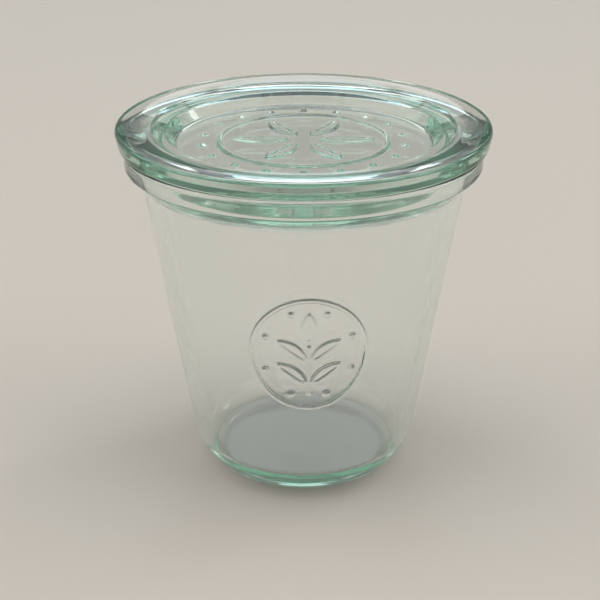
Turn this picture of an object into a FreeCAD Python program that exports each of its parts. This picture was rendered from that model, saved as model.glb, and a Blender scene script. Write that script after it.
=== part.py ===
"""Small tapered canning jar of pressed glass with a loose glass lid laid on its rim.

Millimetres, +Z up. The origin is the centre of the flat spot that the jar stands on, and the
jar's front, with the raised leaf medallion, faces -Y.
"""
import FreeCAD, Part
import math
import os
import Sketcher

SIZES = {
    # jar, outside
    "foot_radius": (21.7, "corner where the flat base meets the bevel of the heel"),
    "heel_height": (5.2, "top of that bevel, where the straight wall starts"),
    "heel_low_round": (6.0, "rounding between base and bevel"),
    "heel_high_round": (14.0, "rounding between bevel and wall"),
    "taper": (9.0, "degrees the wall leans outward"),
    "neck_radius": (38.5, "outside of the wall where the rim flares out"),
    "neck_height": (75.0, "height of that neck"),
    "neck_round": (1.6, "hollow rounding under the flare"),
    "rim_radius": (42.4, "outside of the rim band"),
    "rim_foot_height": (78.7, "lower edge of the rim band"),
    "rim_foot_round": (0.9, "rounding of that edge"),
    "rim_height": (82.9, "top of the rim, where the lid rests"),
    "rim_round": (1.3, "rounding of the rim's outer top edge"),
    # jar, inside
    "wall": (2.7, "wall thickness, measured level"),
    "floor_height": (4.6, "top of the glass floor"),
    "floor_round": (5.0, "rounding between floor and inner wall"),
    "mouth_round": (0.8, "rounding of the mouth's edge"),
    # lid
    "plug_height": (77.4, "underside of the plug that centres the lid in the mouth"),
    "plug_low_radius": (35.4, "plug at its lower edge"),
    "plug_high_radius": (36.2, "plug where it meets the seat"),
    "plug_round": (0.8, "rounding of the plug's lower edge"),
    "seat_radius": (41.3, "outer edge of the flat seat"),
    "lid_low_radius": (43.6, "lower edge of the lid's leaning side"),
    "lid_low_height": (83.6, "height of that edge"),
    "lid_low_round": (0.8, "rounding of that edge"),
    "lid_radius": (44.4, "widest part of the lid, at the top of its side"),
    "lid_shoulder_height": (87.6, "height of that widest part"),
    "lid_shoulder_round": (1.0, "rounding of that edge"),
    "crest_radius": (41.2, "ring where the lid is highest"),
    "crest_height": (88.25, "peak of the crest before it is rounded to the overall height"),
    "crest_round": (10.0, "soft rounding of the crest"),
    "crest_inner_radius": (35.9, "inner edge of the crest"),
    "crest_inner_height": (87.25, "height of that edge"),
    "crest_inner_round": (0.5, "rounding of that edge"),
    "ledge_radius": (35.2, "foot of the crest, where the stacking ledge starts"),
    "ledge_height": (86.7, "stacking ledge at its outer side"),
    "ledge_round": (0.4, "hollow rounding at the back of the ledge"),
    "brim_radius": (32.6, "inner edge of the ledge"),
    "brim_height": (86.0, "height of that edge"),
    "brim_round": (0.8, "rounding of that edge"),
    "dish_radius": (30.2, "foot of the wall round the lid's sunken middle"),
    "dish_height": (83.2, "top of the lid's sunken middle"),
    "dish_round": (1.1, "hollow rounding at that foot"),
    # raised ornament
    "relief": (0.5, "how far the ornament stands out of the glass"),
    "line_width": (0.9, "width of its raised lines"),
    "medallion_width": (27.0, "oval line on the jar's front"),
    "medallion_tall": (30.0, "the same, upright"),
    "medallion_height": (43.0, "height of the medallion's centre"),
    "medallion_turn": (2.0, "degrees the medallion sits round from the front, towards +X"),
    "leaf_length": (8.4, "leaf on the jar, tip to tip"),
    "leaf_width": (3.4, "the same, across"),
    "stem_width": (0.7, "stem between the leaves on the jar"),
    "dot_radius": (0.65, "raised dots"),
    "rosette_radius": (20.5, "ring line on the lid"),
    "petal_length": (13.0, "leaf on the lid, tip to tip"),
    "petal_width": (5.0, "the same, across"),
}
LID_PETALS = 6
LID_DOTS = 18
MEDALLION_DOTS = 8

os.makedirs("parts", exist_ok=True)
doc = FreeCAD.newDocument("GlassCanningJar")
sheet = doc.addObject("Spreadsheet::Sheet", "Sizes")
for row, (alias, (size, meaning)) in enumerate(SIZES.items(), start=1):
    sheet.set(f"A{row}", meaning)
    sheet.set(f"B{row}", str(size))
    sheet.setAlias(f"B{row}", alias)
doc.recompute()


def number(expression):
    """What an expression in the sheet's aliases comes to now."""
    return float(sheet.evalExpression(expression))


def sketch_in(body, name, role):
    """A sketch on one of the body's origin planes."""
    plane = next(feature for feature in body.Origin.OriginFeatures if feature.Role == role)
    sketch = body.newObject("Sketcher::SketchObject", name)
    sketch.AttachmentSupport = [(plane, "")]
    sketch.MapMode = "FlatFace"
    return sketch


def bind(sketch, constraint, expression):
    """Add a dimension and tie it to the sheet."""
    index = sketch.addConstraint(constraint)
    sketch.setExpression(f"Constraints[{index}]", expression)


def outline(sketch, corners):
    """A closed polygon whose corners are (across, up) pairs of expressions, "0" on an axis."""
    points = [FreeCAD.Vector(number(across), number(up), 0) for across, up in corners]
    lines = [
        sketch.addGeometry(Part.LineSegment(start, end), False)
        for start, end in zip(points, points[1:] + points[:1])
    ]
    for line, follower in zip(lines, lines[1:] + lines[:1]):
        sketch.addConstraint(Sketcher.Constraint("Coincident", line, 2, follower, 1))
    for line, point, (across, up) in zip(lines, points, corners):
        if across == "0":
            sketch.addConstraint(Sketcher.Constraint("PointOnObject", line, 1, -2))
        else:
            bind(sketch, Sketcher.Constraint("DistanceX", -1, 1, line, 1, point.x), across)
        if up == "0":
            sketch.addConstraint(Sketcher.Constraint("PointOnObject", line, 1, -1))
        else:
            bind(sketch, Sketcher.Constraint("DistanceY", -1, 1, line, 1, point.y), up)


def turned(body, name, corners):
    """A half section in the XZ plane, turned once round Z."""
    section = sketch_in(body, name + "Section", "XZ_Plane")
    outline(section, corners)
    feature = body.newObject("PartDesign::Revolution", name)
    feature.Profile = section
    feature.ReferenceAxis = (section, ["V_Axis"])
    feature.Angle = 360
    doc.recompute()
    return feature


def ring_edges(shape, radius, height):
    """Names of the full-circle edges of that radius at that height."""
    names = []
    for index, edge in enumerate(shape.Edges, start=1):
        circle = edge.Curve
        if not isinstance(circle, Part.Circle):
            continue
        if math.isclose(circle.Radius, radius, abs_tol=1e-3) and math.isclose(
            circle.Center.z, height, abs_tol=1e-3
        ):
            names.append(f"Edge{index}")
    return names


def rounded(body, name, corners):
    """Round ring edges: each corner is (across, up, radius), all expressions."""
    for count, (across, up, radius) in enumerate(corners, start=1):
        base = body.Tip
        names = ring_edges(base.Shape, number(across), number(up))
        if len(names) != 1:
            raise RuntimeError(f"{name}: {len(names)} edges at {across}, {up}")
        feature = body.newObject("PartDesign::Fillet", f"{name}{count}")
        feature.Base = (base, names)
        feature.setExpression("Radius", radius)
        doc.recompute()


def wall_outside(height):
    """Radius of the tapered wall's outside at a height."""
    return f"Sizes.neck_radius - (Sizes.neck_height - {height}) * tan(Sizes.taper)"


def wall_inside(height):
    """Radius of the tapered wall's inside at a height."""
    return wall_outside(height) + " - Sizes.wall"


def lens(sketch, centre, length, width, angle):
    """A pointed leaf: two equal arcs between its tips, its middle at centre."""
    along = FreeCAD.Vector(math.cos(angle), math.sin(angle), 0)
    aside = FreeCAD.Vector(-along.y, along.x, 0)
    tips = [centre - along * length / 2, centre + along * length / 2]
    for side in (1, -1):
        belly = centre + aside * (side * width / 2)
        sketch.addGeometry(Part.Arc(tips[0], belly, tips[1]), False)


def oval_line(sketch, centre, width, tall, line_width):
    """Two ovals, one line width apart, or two circles where width and tall are the same."""
    for inset in (0, line_width):
        half_width, half_tall = width / 2 - inset, tall / 2 - inset
        if math.isclose(half_width, half_tall):
            curve = Part.Circle(centre, FreeCAD.Vector(0, 0, 1), half_width)
        else:
            right = centre + FreeCAD.Vector(half_width, 0, 0)
            top = centre + FreeCAD.Vector(0, half_tall, 0)
            curve = Part.Ellipse(top, right, centre)
        sketch.addGeometry(curve, False)


def stem(sketch, centre, width, low, high):
    """An upright bar through centre, from low to high above it."""
    corners = [
        centre + FreeCAD.Vector(across * width / 2, up, 0)
        for across, up in ((-1, low), (1, low), (1, high), (-1, high))
    ]
    for start, end in zip(corners, corners[1:] + corners[:1]):
        sketch.addGeometry(Part.LineSegment(start, end), False)


def dot(sketch, centre):
    """A round dot."""
    radius = number("Sizes.dot_radius")
    index = sketch.addGeometry(Part.Circle(centre, FreeCAD.Vector(0, 0, 1), radius), False)
    bind(sketch, Sketcher.Constraint("Radius", index, radius), "Sizes.dot_radius")


def turned_jar():
    """The jar without its ornament."""
    body = doc.addObject("PartDesign::Body", "jar_blank")
    turned(body, "JarTurned", [
        ("0", "0"),
        ("Sizes.foot_radius", "0"),
        (wall_outside("Sizes.heel_height"), "Sizes.heel_height"),
        ("Sizes.neck_radius", "Sizes.neck_height"),
        ("Sizes.rim_radius", "Sizes.rim_foot_height"),
        ("Sizes.rim_radius", "Sizes.rim_height"),
        (wall_inside("Sizes.rim_height"), "Sizes.rim_height"),
        (wall_inside("Sizes.floor_height"), "Sizes.floor_height"),
        ("0", "Sizes.floor_height"),
    ])
    rounded(body, "JarRound", [
        ("Sizes.foot_radius", "0", "Sizes.heel_low_round"),
        (wall_outside("Sizes.heel_height"), "Sizes.heel_height", "Sizes.heel_high_round"),
        ("Sizes.neck_radius", "Sizes.neck_height", "Sizes.neck_round"),
        ("Sizes.rim_radius", "Sizes.rim_foot_height", "Sizes.rim_foot_round"),
        ("Sizes.rim_radius", "Sizes.rim_height", "Sizes.rim_round"),
        (wall_inside("Sizes.rim_height"), "Sizes.rim_height", "Sizes.mouth_round"),
        (wall_inside("Sizes.floor_height"), "Sizes.floor_height", "Sizes.floor_round"),
    ])
    return body


def medallion_prisms():
    """The medallion's lines, leaves and dots, pushed out through the jar's front."""
    body = doc.addObject("PartDesign::Body", "medallion_prisms")
    sketch = sketch_in(body, "MedallionLines", "XZ_Plane")
    centre = FreeCAD.Vector(0, number("Sizes.medallion_height"), 0)
    width, tall = number("Sizes.medallion_width"), number("Sizes.medallion_tall")
    line_width = number("Sizes.line_width")
    oval_line(sketch, centre, width, tall, line_width)
    length, leaf_width = number("Sizes.leaf_length"), number("Sizes.leaf_width")
    lens(sketch, centre + FreeCAD.Vector(0, 0.85 * length, 0), length, leaf_width, math.pi / 2)
    for rise in (-0.95, -0.2):
        for side in (1, -1):
            leaning = math.pi / 2 - side * math.radians(52)
            middle = FreeCAD.Vector(side * 0.45 * length, (rise + 0.35) * length, 0)
            lens(sketch, centre + middle, length, leaf_width, leaning)
    stem(sketch, centre, number("Sizes.stem_width"), -1.3 * length, 0.3 * length)
    for count in range(MEDALLION_DOTS):
        angle = 2 * math.pi * (count + 0.5) / MEDALLION_DOTS
        reach = FreeCAD.Vector(0.39 * width * math.cos(angle), 0.39 * tall * math.sin(angle), 0)
        dot(sketch, centre + reach)
    pad = body.newObject("PartDesign::Pad", "MedallionPad")
    pad.Profile = sketch
    pad.setExpression("Length", "Sizes.rim_radius")
    doc.recompute()
    return body


def medallion_skin():
    """A thin turned skin that reaches from inside the wall to the ornament's face."""
    body = doc.addObject("PartDesign::Body", "medallion_skin")
    low = "Sizes.medallion_height - 0.6 * Sizes.medallion_tall"
    high = "Sizes.medallion_height + 0.6 * Sizes.medallion_tall"
    turned(body, "SkinTurned", [
        (wall_outside(f"({low})") + " - Sizes.wall / 2", low),
        (wall_outside(f"({low})") + " + Sizes.relief", low),
        (wall_outside(f"({high})") + " + Sizes.relief", high),
        (wall_outside(f"({high})") + " - Sizes.wall / 2", high),
    ])
    return body


def jar():
    """The jar: the turned glass and the raised medallion, as one solid."""
    blank, prisms, skin = turned_jar(), medallion_prisms(), medallion_skin()
    medallion = doc.addObject("Part::MultiCommon", "medallion")
    medallion.Shapes = [prisms, skin]
    turn = "rotation(vector(0; 0; 1); Sizes.medallion_turn)"
    medallion.setExpression("Placement", f"placement(vector(0; 0; 0); {turn})")
    whole = doc.addObject("Part::MultiFuse", "jar")
    whole.Shapes = [blank, medallion]
    whole.Refine = True
    whole.Label = "jar"
    doc.recompute()
    return whole


def lid():
    """The lid: a ring with a sunken middle, a plug below and a raised rosette."""
    body = doc.addObject("PartDesign::Body", "lid")
    turned(body, "LidTurned", [
        ("0", "Sizes.plug_height"),
        ("Sizes.plug_low_radius", "Sizes.plug_height"),
        ("Sizes.plug_high_radius", "Sizes.rim_height"),
        ("Sizes.seat_radius", "Sizes.rim_height"),
        ("Sizes.lid_low_radius", "Sizes.lid_low_height"),
        ("Sizes.lid_radius", "Sizes.lid_shoulder_height"),
        ("Sizes.crest_radius", "Sizes.crest_height"),
        ("Sizes.crest_inner_radius", "Sizes.crest_inner_height"),
        ("Sizes.ledge_radius", "Sizes.ledge_height"),
        ("Sizes.brim_radius", "Sizes.brim_height"),
        ("Sizes.dish_radius", "Sizes.dish_height"),
        ("0", "Sizes.dish_height"),
    ])
    rounded(body, "LidRound", [
        ("Sizes.plug_low_radius", "Sizes.plug_height", "Sizes.plug_round"),
        ("Sizes.lid_low_radius", "Sizes.lid_low_height", "Sizes.lid_low_round"),
        ("Sizes.lid_radius", "Sizes.lid_shoulder_height", "Sizes.lid_shoulder_round"),
        ("Sizes.crest_radius", "Sizes.crest_height", "Sizes.crest_round"),
        ("Sizes.crest_inner_radius", "Sizes.crest_inner_height", "Sizes.crest_inner_round"),
        ("Sizes.ledge_radius", "Sizes.ledge_height", "Sizes.ledge_round"),
        ("Sizes.brim_radius", "Sizes.brim_height", "Sizes.brim_round"),
        ("Sizes.dish_radius", "Sizes.dish_height", "Sizes.dish_round"),
    ])
    rosette(body)
    body.Label = "lid"
    return body


def rosette(body):
    """The rosette raised on the lid's sunken middle."""
    sketch = sketch_in(body, "RosetteLines", "XY_Plane")
    sketch.setExpression(".AttachmentOffset.Base.z", "Sizes.dish_height")
    radius, line_width = number("Sizes.rosette_radius"), number("Sizes.line_width")
    centre = FreeCAD.Vector(0, 0, 0)
    oval_line(sketch, centre, 2 * radius, 2 * radius, line_width)
    length, width = number("Sizes.petal_length"), number("Sizes.petal_width")
    for count in range(LID_PETALS):
        angle = 2 * math.pi * count / LID_PETALS
        outward = FreeCAD.Vector(math.cos(angle), math.sin(angle), 0)
        lens(sketch, centre + outward * 0.78 * length, length, width, angle)
    for count in range(LID_DOTS):
        angle = 2 * math.pi * (count + 0.5) / LID_DOTS
        outward = FreeCAD.Vector(math.cos(angle), math.sin(angle), 0)
        dot(sketch, centre + outward * (radius + 4 * line_width))
    pad = body.newObject("PartDesign::Pad", "RosettePad")
    pad.Profile = sketch
    pad.setExpression("Length", "Sizes.relief")
    doc.recompute()


pieces = [jar(), lid()]
doc.recompute()
for item in doc.Objects:
    if "Invalid" in item.State or "Error" in item.State:
        raise RuntimeError(f"{item.Name} failed: {item.State}")
for piece in pieces:
    shape = piece.Shape
    if shape.isNull() or not shape.isValid() or len(shape.Solids) != 1:
        raise RuntimeError(f"{piece.Label} isn't one valid solid")
    shape.exportStep(f"parts/{piece.Label}.step")
    print(piece.Label, f"{shape.Volume / 1000:.1f} cm3", shape.BoundBox, f"{len(shape.Faces)} faces")
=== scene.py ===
import bpy
import bmesh
import math
from mathutils import Matrix, Vector


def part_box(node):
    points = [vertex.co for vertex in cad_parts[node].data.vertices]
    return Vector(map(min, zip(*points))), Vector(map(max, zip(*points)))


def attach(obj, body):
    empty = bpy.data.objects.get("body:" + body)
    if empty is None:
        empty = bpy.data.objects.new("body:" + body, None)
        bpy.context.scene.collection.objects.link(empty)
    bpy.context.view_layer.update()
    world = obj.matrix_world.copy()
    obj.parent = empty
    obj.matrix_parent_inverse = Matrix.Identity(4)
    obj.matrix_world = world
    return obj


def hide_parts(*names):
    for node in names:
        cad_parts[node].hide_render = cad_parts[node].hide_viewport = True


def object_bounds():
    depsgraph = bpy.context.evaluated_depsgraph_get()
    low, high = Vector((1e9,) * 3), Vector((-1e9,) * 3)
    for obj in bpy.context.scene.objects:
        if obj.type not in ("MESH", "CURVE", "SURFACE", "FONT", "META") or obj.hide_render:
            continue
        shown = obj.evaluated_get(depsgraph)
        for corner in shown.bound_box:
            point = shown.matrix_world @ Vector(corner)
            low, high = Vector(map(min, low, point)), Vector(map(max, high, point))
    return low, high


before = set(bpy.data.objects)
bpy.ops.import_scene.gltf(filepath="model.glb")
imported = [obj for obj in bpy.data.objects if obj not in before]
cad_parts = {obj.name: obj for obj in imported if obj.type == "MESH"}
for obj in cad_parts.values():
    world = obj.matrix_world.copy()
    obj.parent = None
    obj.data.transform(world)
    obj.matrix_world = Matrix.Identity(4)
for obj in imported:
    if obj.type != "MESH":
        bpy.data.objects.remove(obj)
cad_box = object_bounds()
whole_height = cad_box[1].z
MM = 0.001

# Sizes in mm, shared by the section and the ornament of each piece.
jar_low, jar_high = (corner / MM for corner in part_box("jar"))
lid_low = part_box("lid")[0] / MM
TAPER = math.tan(math.radians(9.0))
NECK_RADIUS, NECK_HEIGHT = 38.5, 75.0
HEEL_HEIGHT = 5.2
WALL = 2.7
FLOOR_HEIGHT = 4.6
DISH_HEIGHT = 83.2
SEAT_AIR = 0.04
STAND_AIR = 0.05
RELIEF = 0.5
LINE_WIDTH = 0.9
SOFT_EDGE = 0.45
DOT_RADIUS, DOT_SOFT_EDGE = 0.65, 0.7
MARGIN = 1
WELD = 0.001

# Steps round a corner, mesh rows in mm (fine ones under the ornament), steps round the axis.
ARC_STEP, ARC_LEAST_STEPS = math.radians(9), 4
JAR_ROW, JAR_FINE_ROW = 2.0, 0.22
LID_ROW, LID_FINE_ROW = 1.5, 0.3
FRONT_DEGREES, FRONT_STEPS, REST_STEPS = 52, 140, 100
LID_STEPS = 360


# ---- pressed glass: turned sections --------------------------------------------

def half_section(bm, corners):
    """A wire in the XZ plane through (across, up, round) corners in mm, each corner rounded."""
    verts = [bm.verts.new((across * MM, 0, up * MM)) for across, up, _ in corners]
    for start, end in zip(verts, verts[1:]):
        bm.edges.new((start, end))
    for vert, (_, _, radius) in zip(verts, corners):
        if not radius:
            continue
        before, after = (edge.other_vert(vert) for edge in vert.link_edges)
        turn = (vert.co - before.co).angle(after.co - vert.co)
        bmesh.ops.bevel(
            bm, geom=[vert], offset=radius * MM * math.tan(turn / 2), offset_type="OFFSET",
            segments=max(ARC_LEAST_STEPS, round(turn / ARC_STEP)), profile=0.5,
            affect="VERTICES", material=-1,
        )


def divide(bm, row, fine_row, is_fine):
    """Divide the wire's runs into rows: short ones where the ornament will stand."""
    for edge in bm.edges[:]:
        middle = (edge.verts[0].co + edge.verts[1].co) / 2 / MM
        length = fine_row if is_fine(middle) else row
        cuts = math.ceil(edge.calc_length() / (length * MM)) - 1
        if cuts > 0:
            bmesh.ops.subdivide_edges(bm, edges=[edge], cuts=cuts)


def turn_round(bm, start, sectors):
    """Turn the wire once round Z from a start angle, in (degrees, steps) sectors."""
    bmesh.ops.rotate(bm, verts=bm.verts, matrix=Matrix.Rotation(math.radians(start), 3, "Z"))
    last = bm.verts[:] + bm.edges[:]
    for degrees, steps in sectors:
        last = bmesh.ops.spin(
            bm, geom=last, cent=(0, 0, 0), axis=(0, 0, 1), dvec=(0, 0, 0),
            angle=math.radians(degrees), steps=steps, use_merge=False, use_duplicate=False,
        )["geom_last"]
    bmesh.ops.remove_doubles(bm, verts=bm.verts, dist=WELD * MM)
    bmesh.ops.recalc_face_normals(bm, faces=bm.faces)


# ---- raised ornament ------------------------------------------------------------

# A leaf's vein: depth as a share of the relief, width in mm, reach as a share of the leaf.
VEIN_DEPTH, VEIN_WIDTH, VEIN_REACH = 0.45, 0.28, 0.36

MEDALLION_WIDTH, MEDALLION_TALL, MEDALLION_HEIGHT, MEDALLION_TURN = 27.0, 30.0, 43.0, 2.0
MEDALLION_DOTS, MEDALLION_DOT_REACH = 8, 0.39
LEAF_LENGTH, LEAF_WIDTH, STEM_WIDTH = 8.4, 3.4, 0.7
LEAF_LEAN = math.radians(52)
# Heights and distances on the spray, as shares of the leaf's length.
TOP_LEAF, SIDE_LEAVES, SIDE_LEAF_RISE, SIDE_LEAF_REACH = 0.85, (-0.95, -0.2), 0.35, 0.45
STEM_BELOW, STEM_ABOVE = 1.3, 0.3

ROSETTE_RADIUS, PETAL_LENGTH, PETAL_WIDTH = 20.5, 13.0, 5.0
PETALS, PETAL_REACH = 6, 0.78
ROSETTE_DOTS, DOT_RING_RADIUS = 18, ROSETTE_RADIUS + 4 * LINE_WIDTH
ROSETTE_CENTRE = 2


def rise(inside, soft=SOFT_EDGE):
    """Share of the full relief at a point that far inside an outline, in mm."""
    share = min(max(inside / soft + 0.5, 0.0), 1.0)
    return share * share * (3 - 2 * share)


def in_oval_line(across, up, width, tall):
    """How far a point is inside the raised oval line."""
    half_wide, half_tall = (width - LINE_WIDTH) / 2, (tall - LINE_WIDTH) / 2
    reach = math.hypot(across / half_wide, up / half_tall)
    slope = math.hypot(across / half_wide**2, up / half_tall**2) / max(reach, 1e-6)
    return LINE_WIDTH / 2 - abs(reach - 1) / max(slope, 1e-6)


def leaf(across, up, middle, length, width, angle):
    """Relief share of a domed leaf with a sunken vein."""
    shift = Vector((across, up)) - Vector(middle)
    along = shift.x * math.cos(angle) + shift.y * math.sin(angle)
    aside = shift.y * math.cos(angle) - shift.x * math.sin(angle)
    arc = (length**2 + width**2) / (4 * width)
    inside = arc - math.hypot(along, abs(aside) + arc - width / 2)
    if inside < -SOFT_EDGE:
        return 0.0
    in_vein = 1 if abs(along) < VEIN_REACH * length else 0
    vein = VEIN_DEPTH * math.exp(-((aside / VEIN_WIDTH) ** 2)) * in_vein
    return rise(inside) * (1 - vein)


def dot(across, up, middle):
    """Relief share of a round dot."""
    away = math.hypot(across - middle[0], up - middle[1])
    return rise(DOT_RADIUS - away, DOT_SOFT_EDGE)


def medallion(across, up):
    """Relief share of the oval line, leaf spray and dots on the jar's front."""
    shares = [rise(in_oval_line(across, up, MEDALLION_WIDTH, MEDALLION_TALL))]
    top = (0, TOP_LEAF * LEAF_LENGTH)
    shares.append(leaf(across, up, top, LEAF_LENGTH, LEAF_WIDTH, math.pi / 2))
    for high in SIDE_LEAVES:
        for side in (1, -1):
            middle = (side * SIDE_LEAF_REACH * LEAF_LENGTH, (high + SIDE_LEAF_RISE) * LEAF_LENGTH)
            lean = math.pi / 2 - side * LEAF_LEAN
            shares.append(leaf(across, up, middle, LEAF_LENGTH, LEAF_WIDTH, lean))
    below, above = up + STEM_BELOW * LEAF_LENGTH, STEM_ABOVE * LEAF_LENGTH - up
    shares.append(rise(min(STEM_WIDTH / 2 - abs(across), below, above)))
    for count in range(MEDALLION_DOTS):
        angle = 2 * math.pi * (count + 0.5) / MEDALLION_DOTS
        middle = (
            MEDALLION_DOT_REACH * MEDALLION_WIDTH * math.cos(angle),
            MEDALLION_DOT_REACH * MEDALLION_TALL * math.sin(angle),
        )
        shares.append(dot(across, up, middle))
    return max(shares)


def rosette(across, up):
    """Relief share of the ring line, leaves and dots on the lid's sunken middle."""
    shares = [rise(in_oval_line(across, up, 2 * ROSETTE_RADIUS, 2 * ROSETTE_RADIUS))]
    for count in range(PETALS):
        angle = 2 * math.pi * count / PETALS
        reach = PETAL_REACH * PETAL_LENGTH
        middle = reach * math.cos(angle), reach * math.sin(angle)
        shares.append(leaf(across, up, middle, PETAL_LENGTH, PETAL_WIDTH, angle))
    for count in range(ROSETTE_DOTS):
        angle = 2 * math.pi * (count + 0.5) / ROSETTE_DOTS
        middle = DOT_RING_RADIUS * math.cos(angle), DOT_RING_RADIUS * math.sin(angle)
        shares.append(dot(across, up, middle))
    return max(shares)


# ---- the two pieces -------------------------------------------------------------

def wall_outside(up):
    """Radius of the tapered wall's outside at a height."""
    return NECK_RADIUS - (NECK_HEIGHT - up) * TAPER


def piece(name, bm, node, material):
    """Make the bmesh a piece that stands for a CAD node."""
    mesh = bpy.data.meshes.new(name)
    bm.to_mesh(mesh)
    bm.free()
    mesh.materials.append(material)
    mesh.shade_smooth()
    made = bpy.data.objects.new(name, mesh)
    bpy.context.scene.collection.objects.link(made)
    even = made.modifiers.new("even_shading", "WEIGHTED_NORMAL")
    even.mode = "FACE_AREA"
    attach(made, "root")
    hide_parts(node)


def build_jar(material):
    """The jar: its section turned, with the medallion raised on the front."""
    rim_radius, rim_height = jar_high.x, jar_high.z
    low = MEDALLION_HEIGHT - MEDALLION_TALL / 2 - MARGIN
    high = MEDALLION_HEIGHT + MEDALLION_TALL / 2 + MARGIN
    corners = {
        "under_middle": (0, jar_low.z, 0),
        "foot": (21.7, jar_low.z, 6.0),
        "heel": (wall_outside(HEEL_HEIGHT), HEEL_HEIGHT, 14.0),
        "under_medallion": (wall_outside(low), low, 0),
        "over_medallion": (wall_outside(high), high, 0),
        "neck": (NECK_RADIUS, NECK_HEIGHT, 1.6),
        "rim_foot": (rim_radius, 78.7, 0.9),
        "rim_top": (rim_radius, rim_height, 1.3),
        "mouth": (wall_outside(rim_height) - WALL, rim_height, 0.8),
        "floor_edge": (wall_outside(FLOOR_HEIGHT) - WALL, FLOOR_HEIGHT, 5.0),
        "floor_middle": (0, FLOOR_HEIGHT, 0),
    }
    bm = bmesh.new()
    half_section(bm, corners.values())
    divide(
        bm, JAR_ROW, JAR_FINE_ROW,
        lambda p: low < p.z < high and p.x > wall_outside(p.z) - MARGIN,
    )
    front = -90 + MEDALLION_TURN
    sectors = [(FRONT_DEGREES, FRONT_STEPS), (360 - FRONT_DEGREES, REST_STEPS)]
    turn_round(bm, front - FRONT_DEGREES / 2, sectors)
    turn = Matrix.Rotation(-math.radians(MEDALLION_TURN), 3, "Z")
    half_wide = MEDALLION_WIDTH / 2 + MARGIN
    for vert in bm.verts:
        at = turn @ vert.co / MM
        outside = math.hypot(at.x, at.y) > wall_outside(at.z) - MARGIN
        if low < at.z < high and at.y < 0 and outside and abs(at.x) < half_wide:
            outward = Vector((vert.co.x, vert.co.y, 0)).normalized()
            vert.co += outward * RELIEF * MM * medallion(at.x, at.z - MEDALLION_HEIGHT)
    piece("pressed_jar", bm, "jar", material)


def build_lid(material):
    """The lid: its section turned, with the rosette raised on its sunken middle."""
    seat = jar_high.z + SEAT_AIR
    reach = DOT_RING_RADIUS + DOT_RADIUS + MARGIN
    corners = {
        "under_middle": (0, lid_low.z, 0),
        "plug_low": (35.4, lid_low.z, 0.8),
        "plug_high": (36.2, seat, 0.3),
        "seat_edge": (41.3, seat, 0.5),
        "side_low": (43.6, 83.6, 0.8),
        "shoulder": (44.4, 87.6, 1.0),
        "crest": (41.2, 88.25, 10.0),
        "crest_inner": (35.9, 87.25, 0.5),
        "ledge": (35.2, 86.7, 0.4),
        "brim": (32.6, 86.0, 0.8),
        "dish": (30.2, DISH_HEIGHT, 1.1),
        "rosette_edge": (reach, DISH_HEIGHT, 0),
        "rosette_centre": (ROSETTE_CENTRE, DISH_HEIGHT, 0),
        "dish_middle": (0, DISH_HEIGHT, 0),
    }
    bm = bmesh.new()
    half_section(bm, corners.values())
    divide(
        bm, LID_ROW, LID_FINE_ROW,
        lambda p: ROSETTE_CENTRE < p.x < reach and p.z > DISH_HEIGHT - 0.1,
    )
    turn_round(bm, 0, [(360, LID_STEPS)])
    for vert in bm.verts:
        at = vert.co / MM
        if at.z > DISH_HEIGHT - 0.01 and math.hypot(at.x, at.y) < reach:
            vert.co.z += RELIEF * MM * rosette(at.x, at.y)
    piece("pressed_lid", bm, "lid", material)


# ---- finishes -------------------------------------------------------------------

def node_tree(name):
    """A new material with its empty node tree."""
    material = bpy.data.materials.new(name)
    material.use_nodes = True
    tree = material.node_tree
    tree.nodes.clear()
    return material, tree


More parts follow.
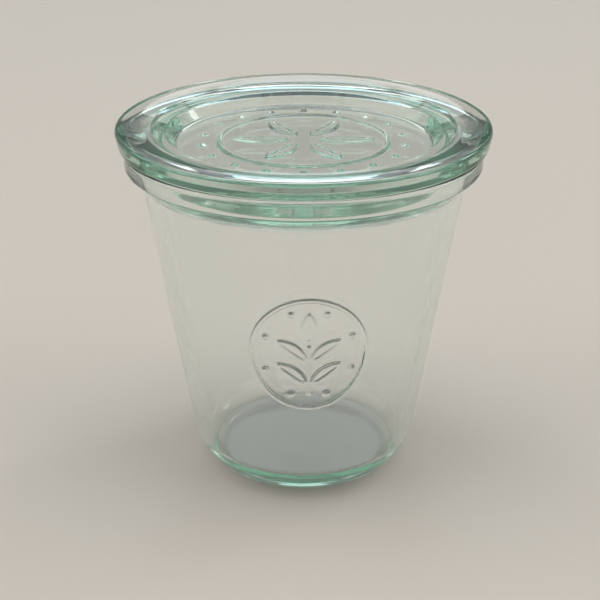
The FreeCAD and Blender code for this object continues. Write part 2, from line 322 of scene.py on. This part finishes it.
def aqua_glass(name, across, round_axis, wave_height):
    """Clear pressed glass, faint green in its depth, with the soft waves that the mould leaves.

    The waves follow Object coordinates times across, plus round_axis times the sum of the
    distance from the axis and the height: with a large round_axis they run round the piece
    as rings. wave_height is in mm.
    """
    material, tree = node_tree(name)
    output = tree.nodes.new("ShaderNodeOutputMaterial")
    shader = tree.nodes.new("ShaderNodeBsdfPrincipled")
    shader.inputs["Base Color"].default_value = (1, 1, 1, 1)
    shader.inputs["Transmission Weight"].default_value = 1
    shader.inputs["IOR"].default_value = 1.52
    tree.links.new(shader.outputs[0], output.inputs["Surface"])
    place = tree.nodes.new("ShaderNodeTexCoord")
    flat = tree.nodes.new("ShaderNodeVectorMath")
    flat.operation = "MULTIPLY"
    flat.inputs[1].default_value = (1, 1, 0)
    tree.links.new(place.outputs["Object"], flat.inputs[0])
    reach = tree.nodes.new("ShaderNodeVectorMath")
    reach.operation = "LENGTH"
    tree.links.new(flat.outputs[0], reach.inputs[0])
    split = tree.nodes.new("ShaderNodeSeparateXYZ")
    tree.links.new(place.outputs["Object"], split.inputs[0])
    turned = tree.nodes.new("ShaderNodeMath")
    tree.links.new(reach.outputs["Value"], turned.inputs[0])
    tree.links.new(split.outputs["Z"], turned.inputs[1])
    rings = tree.nodes.new("ShaderNodeCombineXYZ")
    tree.links.new(turned.outputs[0], rings.inputs["Z"])
    flow = tree.nodes.new("ShaderNodeVectorMath")
    flow.operation = "SCALE"
    flow.inputs["Scale"].default_value = round_axis
    tree.links.new(rings.outputs[0], flow.inputs[0])
    drift = tree.nodes.new("ShaderNodeVectorMath")
    drift.operation = "MULTIPLY_ADD"
    drift.inputs[1].default_value = across
    tree.links.new(place.outputs["Object"], drift.inputs[0])
    tree.links.new(flow.outputs[0], drift.inputs[2])
    wave = tree.nodes.new("ShaderNodeTexNoise")
    wave.inputs["Scale"].default_value = 1
    wave.inputs["Detail"].default_value = 2
    tree.links.new(drift.outputs[0], wave.inputs["Vector"])
    ripple = tree.nodes.new("ShaderNodeBump")
    ripple.inputs["Strength"].default_value = 0.5
    ripple.inputs["Distance"].default_value = wave_height * MM
    tree.links.new(wave.outputs["Fac"], ripple.inputs["Height"])
    tree.links.new(ripple.outputs[0], shader.inputs["Normal"])
    haze = tree.nodes.new("ShaderNodeMapRange")
    haze.inputs["From Min"].default_value = 0.35
    haze.inputs["From Max"].default_value = 0.75
    haze.inputs["To Min"].default_value = 0
    haze.inputs["To Max"].default_value = 0.04
    tree.links.new(wave.outputs["Fac"], haze.inputs["Value"])
    tree.links.new(haze.outputs[0], shader.inputs["Roughness"])
    depth = tree.nodes.new("ShaderNodeVolumeAbsorption")
    depth.inputs["Color"].default_value = (0.50, 0.76, 0.65, 1)
    depth.inputs["Density"].default_value = 26
    tree.links.new(depth.outputs[0], output.inputs["Volume"])
    return material


def pale_floor():
    """The plain matt finish of the floor."""
    material, tree = node_tree("pale_floor")
    output = tree.nodes.new("ShaderNodeOutputMaterial")
    shader = tree.nodes.new("ShaderNodeBsdfPrincipled")
    shader.inputs["Base Color"].default_value = (0.74, 0.69, 0.62, 1)
    shader.inputs["Roughness"].default_value = 0.7
    tree.links.new(shader.outputs[0], output.inputs["Surface"])
    return material


build_jar(aqua_glass("jar_glass", across=(110, 110, 45), round_axis=0, wave_height=0.16))
build_lid(aqua_glass("lid_glass", across=(28, 28, 0), round_axis=700, wave_height=0.03))


# ---- floor, light and camera ----------------------------------------------------

def build_floor():
    """A wide square floor just under the jar."""
    bm = bmesh.new()
    bmesh.ops.create_grid(bm, x_segments=1, y_segments=1, size=4)
    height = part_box("jar")[0].z - STAND_AIR * MM
    bmesh.ops.translate(bm, verts=bm.verts, vec=(0, 0, height))
    mesh = bpy.data.meshes.new("floor")
    bm.to_mesh(mesh)
    bm.free()
    mesh.materials.append(pale_floor())
    floor = bpy.data.objects.new("floor", mesh)
    bpy.context.scene.collection.objects.link(floor)


def studio_world(low, high):
    """A grey room, a little lighter at eye level (low) than overhead (high)."""
    world = bpy.data.worlds.new("studio")
    bpy.context.scene.world = world
    world.use_nodes = True
    tree = world.node_tree
    background = tree.nodes["Background"]
    direction = tree.nodes.new("ShaderNodeTexCoord")
    split = tree.nodes.new("ShaderNodeSeparateXYZ")
    share = tree.nodes.new("ShaderNodeMapRange")
    share.interpolation_type = "SMOOTHSTEP"
    share.inputs["From Min"].default_value = 0.05
    share.inputs["From Max"].default_value = 0.75
    blend = tree.nodes.new("ShaderNodeMix")
    blend.data_type = "RGBA"
    blend.inputs["A"].default_value = low
    blend.inputs["B"].default_value = high
    tree.links.new(direction.outputs["Generated"], split.inputs[0])
    tree.links.new(split.outputs["Z"], share.inputs["Value"])
    tree.links.new(share.outputs["Result"], blend.inputs["Factor"])
    tree.links.new(blend.outputs["Result"], background.inputs["Color"])


def softbox(name, azimuth, elevation, distance, width, height, brightness, colour):
    """A soft lamp, its angles in degrees (azimuth 0 is behind the jar) and its sizes in m.

    brightness is that of its face, whatever its size.
    """
    light = bpy.data.lights.new(name, "AREA")
    light.shape = "RECTANGLE"
    light.size, light.size_y = width, height
    light.energy = brightness * math.pi * width * height
    light.color = colour
    made = bpy.data.objects.new(name, light)
    turn, lift = math.radians(azimuth), math.radians(elevation)
    aim = Vector((0, 0, 0.6 * whole_height))
    away = Vector((
        math.sin(turn) * math.cos(lift), math.cos(turn) * math.cos(lift), math.sin(lift),
    ))
    made.location = aim + distance * away
    made.rotation_euler = (-away).to_track_quat("-Z", "Y").to_euler()
    bpy.context.scene.collection.objects.link(made)


def place_camera(lens, shift, look_down, aim_height, distance):
    """The view from the front: lens in mm, shift in picture widths, look_down in degrees."""
    view = bpy.data.cameras.new("view")
    view.lens, view.sensor_width = lens, 36
    view.shift_x = shift
    camera = bpy.data.objects.new("view", view)
    pitch = math.radians(look_down)
    aim = Vector((0, 0, aim_height))
    camera.location = aim + distance * Vector((0, -math.cos(pitch), math.sin(pitch)))
    camera.rotation_euler = (math.pi / 2 - pitch, 0, 0)
    bpy.context.scene.collection.objects.link(camera)
    bpy.context.scene.camera = camera


SIDE_WHITE = (1.0, 0.99, 0.96)
# Azimuth, elevation, distance, width, height, brightness and colour.
LAMPS = {
    "window": (0, 27, 2.0, 0.70, 0.38, 1.15, (0.92, 0.97, 0.97)),
    "high_window": (0, 40, 2.0, 0.60, 0.48, 1.15, (0.60, 0.90, 1.0)),
    "side_window": (56, 28, 2.0, 0.30, 0.36, 5.0, (0.95, 1.0, 1.0)),
    "left_side": (-88, 40, 2.0, 2.8, 1.9, 1.0, SIDE_WHITE),
    "right_side": (88, 40, 2.0, 2.8, 1.9, 1.0, SIDE_WHITE),
    "overhead": (0, 89, 2.0, 1.5, 1.5, 1.5, (1.0, 0.99, 0.97)),
    "behind_view": (180, 22, 2.4, 2.6, 0.9, 0.9, (1.0, 0.98, 0.95)),
}

build_floor()
studio_world(low=(0.26, 0.26, 0.25, 1), high=(0.15, 0.15, 0.16, 1))
for lamp_name, lamp in LAMPS.items():
    softbox(lamp_name, *lamp)
place_camera(
    lens=80.2, shift=-0.0062, look_down=24.41, aim_height=0.4725 * whole_height, distance=0.3332,
)
bpy.context.scene.view_settings.view_transform = "Standard"

# With fewer bounces, light caught inside the thick ring and heel is lost and they turn dark.
GLASS_BOUNCES = 32
bpy.context.scene.cycles.max_bounces = GLASS_BOUNCES
bpy.context.scene.cycles.transmission_bounces = GLASS_BOUNCES
bpy.context.scene.cycles.glossy_bounces = GLASS_BOUNCES
